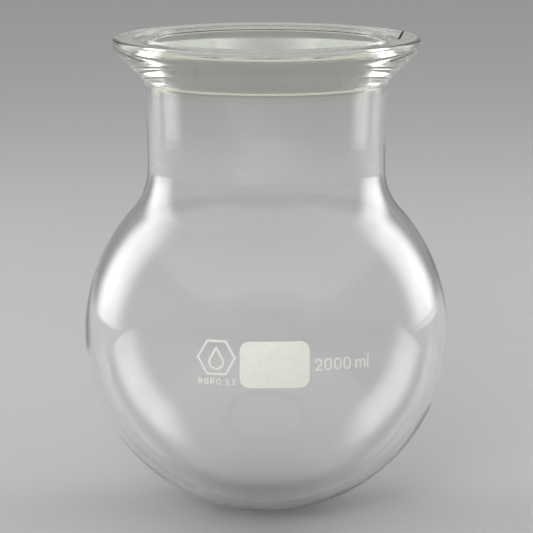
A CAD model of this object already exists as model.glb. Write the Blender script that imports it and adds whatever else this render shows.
import math

import bpy
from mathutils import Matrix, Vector


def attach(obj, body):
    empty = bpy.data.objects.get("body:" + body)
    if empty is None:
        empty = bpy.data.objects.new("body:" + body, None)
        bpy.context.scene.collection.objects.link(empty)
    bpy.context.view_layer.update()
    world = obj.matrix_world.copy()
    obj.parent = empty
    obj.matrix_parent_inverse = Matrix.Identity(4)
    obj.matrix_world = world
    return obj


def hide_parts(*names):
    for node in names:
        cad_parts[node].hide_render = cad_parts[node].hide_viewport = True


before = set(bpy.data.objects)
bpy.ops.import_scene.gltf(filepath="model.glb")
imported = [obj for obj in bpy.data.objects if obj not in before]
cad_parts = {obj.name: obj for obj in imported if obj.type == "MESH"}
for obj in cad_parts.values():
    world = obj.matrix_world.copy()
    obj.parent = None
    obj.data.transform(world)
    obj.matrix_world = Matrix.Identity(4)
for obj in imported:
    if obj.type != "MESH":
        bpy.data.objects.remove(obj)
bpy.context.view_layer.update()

MM = 0.001

# Mesh steps round the axis and along the profiles.
AROUND = 360
BULB_STEPS = 100
SHOULDER_STEPS = 30
NECK_STEPS = 34
ROUND_STEPS = 20
RIM_STEPS = 24
GROOVE_STEPS = 40
CONE_STEPS = 12
BORE_STEPS = 14
COLLAR_STEPS = 5
ROOT_STEPS = 4
EDGE_STEPS = 3
LAND_STEPS = 7

# Sizes in millimetres, as in the CAD model.
TOTAL_H = 215.6
BULB_R = 82.2
BULB_FLOOR = 3.7
SHOULDER_R = 28.0
SHOULDER_WALL = 2.8
SEAM_Z = 161.0
FLANGE_SEAM_Z = 192.0
WAIST_OUT = 53.5
WAIST_IN = 50.7
TOP_OUT = 54.6
TOP_IN = 51.8
FLANGE_R = 69.0
ROOT_R = 54.7
ROOT_Z = 193.8
ROOT_FILLET = 6.0
CORNER_LOW = 5.8
CORNER_TOP = 1.8
MOUTH_R = 52.0
MOUTH_ROUND = 1.2
MOUTH_END_Z = 196.0
GROOVE_R = 57.0
GROOVE_HALF = 2.5
GROOVE_DEPTH = 3.0

# Gap between the pieces at a fused seam, and the softened edge of the groove.
SEAM_GAP = 0.01
GROOVE_EDGE = 0.15

# Shares of the neck's flare that grow evenly and with the square of the height.
FLARE_EVEN = 0.4
FLARE_BEND = 0.6


# ------------------------------------------------------------------ profiles

def arc(cx, cz, r, start, end, n):
    """Points on an arc, in degrees, from start to end."""
    points = []
    for k in range(n + 1):
        a = math.radians(start + (end - start) * k / n)
        points.append((cx + r * math.cos(a), cz + r * math.sin(a)))
    return points


def run(a, b, n):
    """n steps from a towards b, b included and a left out."""
    return [(a[0] + (b[0] - a[0]) * k / n, a[1] + (b[1] - a[1]) * k / n)
            for k in range(1, n + 1)]


def flare(r_low, r_high, n):
    """Neck wall from its lower seam up: nearly straight, opening towards the flange."""
    points = []
    for k in range(n + 1):
        t = k / n
        r = r_low + (r_high - r_low) * (FLARE_EVEN * t + FLARE_BEND * t * t)
        points.append((r, SEAM_Z + (FLANGE_SEAM_Z - SEAM_Z) * t))
    return points


def bulb_profile():
    """(outer, inner) walls, each from the pole up to the neck seam. Both shoulder fillets
    share one centre and the wall thins evenly from the floor up to them."""
    cx = WAIST_OUT + SHOULDER_R
    cz = BULB_R + math.sqrt((BULB_R + SHOULDER_R) ** 2 - cx ** 2)
    fillet = SHOULDER_R + SHOULDER_WALL
    rise = cz - BULB_FLOOR
    cavity = (cx ** 2 + rise ** 2 - fillet ** 2) / (2.0 * (fillet + rise))
    walls = []
    for r, z, bend, neck in ((BULB_R, BULB_R, SHOULDER_R, WAIST_OUT),
                             (cavity, BULB_FLOOR + cavity, fillet, WAIST_IN)):
        leave = math.degrees(math.atan2(cz - z, cx))
        wall = arc(0, z, r, -90, leave, BULB_STEPS)
        wall += arc(cx, cz, bend, 180 + leave, 180, SHOULDER_STEPS)[1:]
        wall += run((neck, cz), (neck, SEAM_Z - SEAM_GAP), COLLAR_STEPS)
        wall[0] = (0.0, wall[0][1])
        walls.append(wall)
    return walls


def neck_profile():
    outer = flare(WAIST_OUT, TOP_OUT, NECK_STEPS)
    inner = flare(WAIST_IN, TOP_IN, NECK_STEPS)
    for wall in (outer, inner):
        wall[0] = (wall[0][0], wall[0][1] + SEAM_GAP)
        wall[-1] = (wall[-1][0], wall[-1][1] - SEAM_GAP)
    return outer, inner


def flange_profile():
    """(outer, inner): outer runs from the seam round the rim, over the ground top and
    through the groove to the mouth, inner runs from the seam up the bore."""
    fx = ROOT_R + ROOT_FILLET
    outer = [(TOP_OUT, FLANGE_SEAM_Z + SEAM_GAP)]
    outer += run(outer[-1], (ROOT_R, ROOT_Z), ROOT_STEPS)
    outer += arc(fx, ROOT_Z, ROOT_FILLET, 180, 135, ROUND_STEPS)[1:]
    foot = outer[-1]
    corner_z = foot[1] + (FLANGE_R - foot[0])
    low_x = FLANGE_R - CORNER_LOW
    low_z = corner_z + CORNER_LOW * math.tan(math.radians(22.5))
    low = arc(low_x, low_z, CORNER_LOW, -45, 0, RIM_STEPS)
    outer += run(foot, low[0], CONE_STEPS) + low[1:]
    top_x = FLANGE_R - CORNER_TOP
    top = arc(top_x, TOTAL_H - CORNER_TOP, CORNER_TOP, 0, 90, ROUND_STEPS)
    outer += run(low[-1], top[0], EDGE_STEPS) + top[1:]
    g_out = GROOVE_R + GROOVE_HALF
    g_in = GROOVE_R - GROOVE_HALF
    g_z = TOTAL_H - GROOVE_DEPTH + GROOVE_HALF
    outer += run(top[-1], (g_out + GROOVE_EDGE, TOTAL_H), LAND_STEPS)
    outer += [(g_out, TOTAL_H - GROOVE_EDGE)]
    outer += arc(GROOVE_R, g_z, GROOVE_HALF, 0, -180, GROOVE_STEPS)
    outer += [(g_in, TOTAL_H - GROOVE_EDGE), (g_in - GROOVE_EDGE, TOTAL_H)]
    mouth_x = MOUTH_R + MOUTH_ROUND
    outer += [(mouth_x, TOTAL_H)]
    outer += arc(mouth_x, TOTAL_H - MOUTH_ROUND, MOUTH_ROUND, 90, 180, ROUND_STEPS)[1:]
    inner = [(TOP_IN, FLANGE_SEAM_Z + SEAM_GAP)]
    inner += run(inner[0], (MOUTH_R, MOUTH_END_Z), COLLAR_STEPS)
    inner += run(inner[-1], (MOUTH_R, TOTAL_H - MOUTH_ROUND), BORE_STEPS)[:-1]
    return outer, inner


# ------------------------------------------------------------------ lathe

# Each wave: turns round the axis, radians per mm of height, and phase.
OUT_WAVES = ((2, 0.021, 0.4), (3, -0.034, 2.1), (5, 0.052, 4.0), (1, 0.083, 1.2))
IN_WAVES = ((3, 0.047, 1.0), (4, -0.061, 3.3), (7, 0.094, 5.2), (2, 0.128, 0.3))
OUT_DEPTH = 0.03
IN_DEPTH = 0.13

# The waves die out over the lower half of the flange and towards the pole of the bulb.
CALM_Z = 204.0
CALM_RUN = 10.0
CALM_R = 25.0

POLE_R = 1e-9
LAND_TOLERANCE = 0.00001
SEAM_SLOT = 1
GROUND_SLOT = 2


def waves(table, theta, z):
    total = 0.0
    for k, m, phase in table:
        total += math.cos(k * theta + m * z + phase)
    return total / len(table)


def wall_shift(side, theta, r, z):
    """How far blown and drawn glass strays from its true surface, in mm along the radius."""
    if z > CALM_Z:
        return 0.0
    fade = min(1.0, (CALM_Z - z) / CALM_RUN) * min(1.0, r / CALM_R)
    if side == "outer":
        return OUT_DEPTH * fade * waves(OUT_WAVES, theta, z)
    return IN_DEPTH * fade * waves(IN_WAVES, theta, z)


def lathe(name, outer, inner):
    """Closed body of revolution from its two walls. The walls meet either at the axis or in
    a flat seam ring, which gets the seam slot. The flat top of the flange gets the ground slot."""
    verts, faces, ring_faces = [], [], []

    def ring(side, r, z):
        if r < POLE_R:
            verts.append((0.0, 0.0, z * MM))
            return [len(verts) - 1] * AROUND
        ids = []
        for k in range(AROUND):
            theta = 2 * math.pi * k / AROUND
            d = r + wall_shift(side, theta, r, z)
            verts.append((d * math.cos(theta) * MM, d * math.sin(theta) * MM, z * MM))
            ids.append(len(verts) - 1)
        return ids

    def skin(a, b, into):
        for k in range(AROUND):
            n = (k + 1) % AROUND
            quad = [a[k], a[n], b[n], b[k]]
            corners = []
            for v in quad:
                if v not in corners:
                    corners.append(v)
            into.append(corners)

    out_rings = [ring("outer", r, z) for r, z in outer]
    in_rings = [ring("inner", r, z) for r, z in inner]
    for a, b in zip(out_rings[:-1], out_rings[1:]):
        skin(a, b, faces)
    for a, b in zip(in_rings[:-1], in_rings[1:]):
        skin(b, a, faces)
    if name == "flange":
        skin(out_rings[-1], in_rings[-1], faces)
        skin(in_rings[0], out_rings[0], ring_faces)
    elif name == "neck":
        skin(out_rings[-1], in_rings[-1], ring_faces)
        skin(in_rings[0], out_rings[0], ring_faces)
    else:
        skin(out_rings[-1], in_rings[-1], ring_faces)
    mesh = bpy.data.meshes.new(name + "_glass")
    mesh.from_pydata(verts, [], faces + ring_faces)
    mesh.validate()
    mesh.update()
    top = TOTAL_H * MM - LAND_TOLERANCE
    for i, poly in enumerate(mesh.polygons):
        poly.use_smooth = True
        poly.material_index = SEAM_SLOT if i >= len(faces) else 0
        if min(verts[v][2] for v in poly.vertices) > top:
            poly.material_index = GROUND_SLOT
    seam_edges = set()
    for poly in mesh.polygons[len(faces):]:
        seam_edges.update(poly.edge_keys)
    sharp = mesh.attributes.new("sharp_edge", "BOOLEAN", "EDGE")
    for i, edge in enumerate(mesh.edges):
        sharp.data[i].value = tuple(sorted(edge.vertices)) in seam_edges
    ob = bpy.data.objects.new(name + "_glass", mesh)
    bpy.context.scene.collection.objects.link(ob)
    return ob


# ------------------------------------------------------------------ materials

GLASS_IOR = 1.473
WALL_TINT = (0.98, 0.98, 0.98)
FLANGE_TINT = (0.92, 0.94, 0.87)
GROUND_TINT = (0.91, 0.96, 0.87)
WALL_RIPPLE = 0.00002
RIPPLE_STRETCH = (1, 1, 0.45)
RIPPLE_SCALE = 26
RIPPLE_DETAIL = 1.5
GROUND_ROUGH = 0.25
GROUND_CLEAR = 0.75

ENAMEL_WHITE = (0.80, 0.81, 0.75)
ENAMEL_WHITE_DARK = (0.77, 0.78, 0.72)
ENAMEL_BLACK = (0.016, 0.016, 0.017)
ENAMEL_BLACK_DARK = (0.010, 0.010, 0.011)
WHITE_ROUGH = 0.42
BLACK_ROUGH = 0.7
BLACK_GLOSS = 0.1
MOTTLE_SCALE = 420
MOTTLE_DETAIL = 4
MOTTLE_LOW = 0.35
MOTTLE_HIGH = 0.62
GRAIN_SCALE = 2600
GRAIN_DETAIL = 3
GRAIN_STRENGTH = 0.2
GRAIN_HEIGHT = 0.00003
GRAIN_SMOOTHER = 0.06
GRAIN_ROUGHER = 0.08


def new_material(name):
    mat = bpy.data.materials.new(name)
    mat.use_nodes = True
    mat.node_tree.nodes.clear()
    return mat, mat.node_tree.nodes, mat.node_tree.links


def glass_material(name, tint, bump, rough=0.0, clear=1.0):
    """Clear glass with a faint ripple for the walls, or rough and milky for the ground face."""
    mat, nodes, links = new_material(name)
    out = nodes.new("ShaderNodeOutputMaterial")
    bsdf = nodes.new("ShaderNodeBsdfPrincipled")
    bsdf.inputs["Base Color"].default_value = (*tint, 1)
    bsdf.inputs["Roughness"].default_value = rough
    bsdf.inputs["IOR"].default_value = GLASS_IOR
    bsdf.inputs["Transmission Weight"].default_value = clear
    links.new(bsdf.outputs[0], out.inputs["Surface"])
    if bump:
        coord = nodes.new("ShaderNodeTexCoord")
        scale = nodes.new("ShaderNodeMapping")
        scale.inputs["Scale"].default_value = RIPPLE_STRETCH
        noise = nodes.new("ShaderNodeTexNoise")
        noise.inputs["Scale"].default_value = RIPPLE_SCALE
        noise.inputs["Detail"].default_value = RIPPLE_DETAIL
        height = nodes.new("ShaderNodeBump")
        height.inputs["Strength"].default_value = 1.0
        height.inputs["Distance"].default_value = bump
        links.new(coord.outputs["Object"], scale.inputs[0])
        links.new(scale.outputs[0], noise.inputs["Vector"])
        links.new(noise.outputs["Fac"], height.inputs["Height"])
        links.new(height.outputs[0], bsdf.inputs["Normal"])
    return mat


def seam_material():
    """The fused join inside the glass, where nothing is seen."""
    mat, nodes, links = new_material("fused_seam")
    out = nodes.new("ShaderNodeOutputMaterial")
    clear = nodes.new("ShaderNodeBsdfTransparent")
    clear.inputs["Color"].default_value = (1, 1, 1, 1)
    links.new(clear.outputs[0], out.inputs["Surface"])
    return mat


def enamel_material(name, light, dark, rough, gloss=0.5):
    """Screen-printed enamel, fired on: faint mottling and a fine satin grain."""
    mat, nodes, links = new_material(name)
    out = nodes.new("ShaderNodeOutputMaterial")
    bsdf = nodes.new("ShaderNodeBsdfPrincipled")
    bsdf.inputs["Specular IOR Level"].default_value = gloss
    coord = nodes.new("ShaderNodeTexCoord")
    noise = nodes.new("ShaderNodeTexNoise")
    noise.inputs["Scale"].default_value = MOTTLE_SCALE
    noise.inputs["Detail"].default_value = MOTTLE_DETAIL
    ramp = nodes.new("ShaderNodeValToRGB")
    ramp.color_ramp.elements[0].position = MOTTLE_LOW
    ramp.color_ramp.elements[0].color = (*dark, 1)
    ramp.color_ramp.elements[1].position = MOTTLE_HIGH
    ramp.color_ramp.elements[1].color = (*light, 1)
    fine = nodes.new("ShaderNodeTexNoise")
    fine.inputs["Scale"].default_value = GRAIN_SCALE
    fine.inputs["Detail"].default_value = GRAIN_DETAIL
    height = nodes.new("ShaderNodeBump")
    height.inputs["Strength"].default_value = GRAIN_STRENGTH
    height.inputs["Distance"].default_value = GRAIN_HEIGHT
    shine = nodes.new("ShaderNodeMapRange")
    shine.inputs["To Min"].default_value = rough - GRAIN_SMOOTHER
    shine.inputs["To Max"].default_value = rough + GRAIN_ROUGHER
    links.new(coord.outputs["Object"], noise.inputs["Vector"])
    links.new(coord.outputs["Object"], fine.inputs["Vector"])
    links.new(noise.outputs["Fac"], ramp.inputs[0])
    links.new(ramp.outputs[0], bsdf.inputs["Base Color"])
    links.new(fine.outputs["Fac"], height.inputs["Height"])
    links.new(height.outputs[0], bsdf.inputs["Normal"])
    links.new(fine.outputs["Fac"], shine.inputs["Value"])
    links.new(shine.outputs[0], bsdf.inputs["Roughness"])
    links.new(bsdf.outputs[0], out.inputs["Surface"])
    return mat


# ------------------------------------------------------------------ the flask

seam = seam_material()
wall_glass = glass_material("wall_glass", WALL_TINT, WALL_RIPPLE)
flange_glass = glass_material("flange_glass", FLANGE_TINT, 0.0)
ground_glass = glass_material("ground_glass", GROUND_TINT, 0.0, GROUND_ROUGH, GROUND_CLEAR)

for node, profile, glass in (("bulb", bulb_profile(), wall_glass),
                             ("neck", neck_profile(), wall_glass),
                             ("flange", flange_profile(), flange_glass)):
    piece = lathe(node, *profile)
    piece.data.materials.append(glass)
    piece.data.materials.append(seam)
    if node == "flange":
        piece.data.materials.append(ground_glass)
    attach(piece, "root")
    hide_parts(node)

white = enamel_material("white_enamel", ENAMEL_WHITE, ENAMEL_WHITE_DARK, WHITE_ROUGH)
black = enamel_material("black_enamel", ENAMEL_BLACK, ENAMEL_BLACK_DARK, BLACK_ROUGH, BLACK_GLOSS)
for node in ("writing_panel", "emblem_print", "capacity_print", "glass_grade_print"):
    for material_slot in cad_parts[node].material_slots:
        material_slot.material = white


# Black stroke on the flange, in millimetres.
STROKE_NEAR = Vector((58.75, -11.4, 0))
STROKE_FAR = Vector((62.1, 24.3, 0))
STROKE_HALF = 0.52
STROKE_FILM = 0.04


def index_stroke():
    """Black stroke on the flat land of the flange, raised by a film of enamel."""
    start, end = STROKE_NEAR, STROKE_FAR
    along = (end - start).normalized()
    side = Vector((-along.y, along.x, 0)) * STROKE_HALF
    verts = []
    for z in (TOTAL_H - STROKE_FILM, TOTAL_H + STROKE_FILM):
        for corner in (start + side, end + side, end - side, start - side):
            verts.append((corner.x * MM, corner.y * MM, z * MM))
    faces = [(0, 1, 2, 3), (7, 6, 5, 4), (0, 4, 5, 1), (1, 5, 6, 2), (2, 6, 7, 3), (3, 7, 4, 0)]
    mesh = bpy.data.meshes.new("index_stroke")
    mesh.from_pydata(verts, [], faces)
    mesh.validate()
    mesh.materials.append(black)
    ob = bpy.data.objects.new("index_stroke", mesh)
    bpy.context.scene.collection.objects.link(ob)
    return ob


stroke = index_stroke()
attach(stroke, "root")
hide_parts("index_mark")


# ------------------------------------------------------------------ floor and surroundings

# In metres from here on. The floor lies a hair below the flask.
FLOOR_HALF = 3.0
FLOOR_DROP = 0.0004
FLOOR_TONE = 0.5
SURROUND_TONE = 0.3


def make_floor():
    """Plain matt floor, one pale tone all over."""
    corners = [(-FLOOR_HALF, -FLOOR_HALF), (FLOOR_HALF, -FLOOR_HALF),
               (FLOOR_HALF, FLOOR_HALF), (-FLOOR_HALF, FLOOR_HALF)]
    mesh = bpy.data.meshes.new("floor")
    mesh.from_pydata([(x, y, -FLOOR_DROP) for x, y in corners], [], [(0, 1, 2, 3)])
    ob = bpy.data.objects.new("floor", mesh)
    bpy.context.scene.collection.objects.link(ob)
    mat, nodes, links = new_material("pale_floor")
    out = nodes.new("ShaderNodeOutputMaterial")
    matt = nodes.new("ShaderNodeBsdfDiffuse")
    matt.inputs["Color"].default_value = (FLOOR_TONE, FLOOR_TONE, FLOOR_TONE, 1)
    links.new(matt.outputs[0], out.inputs["Surface"])
    mesh.materials.append(mat)
    return ob


def make_surroundings():
    """Even grey light from all round."""
    world = bpy.data.worlds.new("studio")
    bpy.context.scene.world = world
    world.use_nodes = True
    nodes, links = world.node_tree.nodes, world.node_tree.links
    nodes.clear()
    out = nodes.new("ShaderNodeOutputWorld")
    grey = nodes.new("ShaderNodeBackground")
    grey.inputs["Color"].default_value = (SURROUND_TONE, SURROUND_TONE, SURROUND_TONE, 1)
    links.new(grey.outputs[0], out.inputs["Surface"])


make_floor()
make_surroundings()


# ------------------------------------------------------------------ soft lights

# Share of the width over which a softbox fades, from each edge.
SOFT_FADE = 0.4
EDGE_FADE = 0.15

# Middle of a light's own 0 to 1 coordinates, and so also the way from there to an edge.
MIDDLE = 0.5


def softbox(name, width, height, place, target, brightness, fade_share=SOFT_FADE):
    """Rectangular soft light facing a target. It fades smoothly towards its edges, shows in
    the glass and is hidden from the camera."""
    light = bpy.data.lights.new(name, "AREA")
    light.shape = "RECTANGLE"
    light.size = width
    light.size_y = height
    # Power grows with the area, so that one brightness looks the same at any size.
    light.energy = math.pi * width * height
    light.use_nodes = True
    nodes, links = light.node_tree.nodes, light.node_tree.links
    nodes.clear()
    out = nodes.new("ShaderNodeOutputLight")
    glow = nodes.new("ShaderNodeEmission")
    where = nodes.new("ShaderNodeNewGeometry")
    split = nodes.new("ShaderNodeSeparateXYZ")
    links.new(where.outputs["Parametric"], split.inputs[0])
    level = nodes.new("ShaderNodeMath")
    level.operation = "MULTIPLY"
    for i, axis in enumerate(("X", "Y")):
        centred = nodes.new("ShaderNodeMath")
        centred.operation = "SUBTRACT"
        centred.inputs[1].default_value = MIDDLE
        reach = nodes.new("ShaderNodeMath")
        reach.operation = "ABSOLUTE"
        fade = nodes.new("ShaderNodeMapRange")
        fade.interpolation_type = "SMOOTHSTEP"
        fade.inputs["From Min"].default_value = MIDDLE
        fade.inputs["From Max"].default_value = MIDDLE - fade_share
        fade.inputs["To Max"].default_value = brightness if i else 1.0
        links.new(split.outputs[axis], centred.inputs[0])
        links.new(centred.outputs[0], reach.inputs[0])
        links.new(reach.outputs[0], fade.inputs["Value"])
        links.new(fade.outputs[0], level.inputs[i])
    links.new(level.outputs[0], glow.inputs["Strength"])
    links.new(glow.outputs[0], out.inputs["Surface"])
    ob = bpy.data.objects.new(name, light)
    ob.location = place
    ob.rotation_euler = (Vector(target) - Vector(place)).to_track_quat("-Z", "Y").to_euler()
    ob.visible_camera = False
    bpy.context.scene.collection.objects.link(ob)
    return ob


# A tall softbox on each side, a little behind the flask, and a wide one overhead.
SIDE_TURN = math.radians(60)
SIDE_DISTANCE = 1.2
SIDE_WIDTH = 1.1
SIDE_HEIGHT = 1.8
SIDE_Z = 0.5
SIDE_AIM = (0, 0, 0.3)
SIDE_BRIGHTNESS = 3
OVERHEAD_WIDTH = 9
OVERHEAD_Z = 2.5
OVERHEAD_BRIGHTNESS = 0.5

side_x = SIDE_DISTANCE * math.sin(SIDE_TURN)
side_y = SIDE_DISTANCE * math.cos(SIDE_TURN)
for side_name, x in (("left_softbox", -side_x), ("right_softbox", side_x)):
    softbox(side_name, SIDE_WIDTH, SIDE_HEIGHT, (x, side_y, SIDE_Z), SIDE_AIM, SIDE_BRIGHTNESS)
softbox("overhead_softbox", OVERHEAD_WIDTH, OVERHEAD_WIDTH, (0, 0, OVERHEAD_Z), (0, 0, 0),
        OVERHEAD_BRIGHTNESS, EDGE_FADE)

# A front light for the prints only: it would show as a hot spot in the glass.
FILL_WIDTH = 0.8
FILL_PLACE = (-0.25, -1.2, 0.55)
FILL_AIM = (0, 0, 0.1)
FILL_BRIGHTNESS = 10

front = softbox("front_fill", FILL_WIDTH, FILL_WIDTH, FILL_PLACE, FILL_AIM, FILL_BRIGHTNESS)
front.visible_glossy = False
front.visible_transmission = False


# ------------------------------------------------------------------ camera

LENS_MM = 227.0
CAMERA_ELEVATION = math.radians(9.75)
CAMERA_DISTANCE = 1.522
AIM_Z = 0.1113
SENSOR_MM = 36.0

camera_data = bpy.data.cameras.new("camera")
camera_data.sensor_width = SENSOR_MM
camera_data.lens = LENS_MM
camera = bpy.data.objects.new("camera", camera_data)
bpy.context.scene.collection.objects.link(camera)
back = Vector((0.0, -math.cos(CAMERA_ELEVATION), math.sin(CAMERA_ELEVATION)))
camera.location = Vector((0.0, 0.0, AIM_Z)) + CAMERA_DISTANCE * back
camera.rotation_euler = (math.pi / 2 - CAMERA_ELEVATION, 0.0, 0.0)
bpy.context.scene.camera = camera

# Enough bounces for light to cross the walls of the glass several times.
GLASS_BOUNCES = 24
GLOSSY_BOUNCES = 12

scene = bpy.context.scene
scene.view_settings.view_transform = "Standard"
scene.cycles.max_bounces = GLASS_BOUNCES
scene.cycles.transmission_bounces = GLASS_BOUNCES
scene.cycles.glossy_bounces = GLOSSY_BOUNCES
scene.cycles.transparent_max_bounces = GLASS_BOUNCES
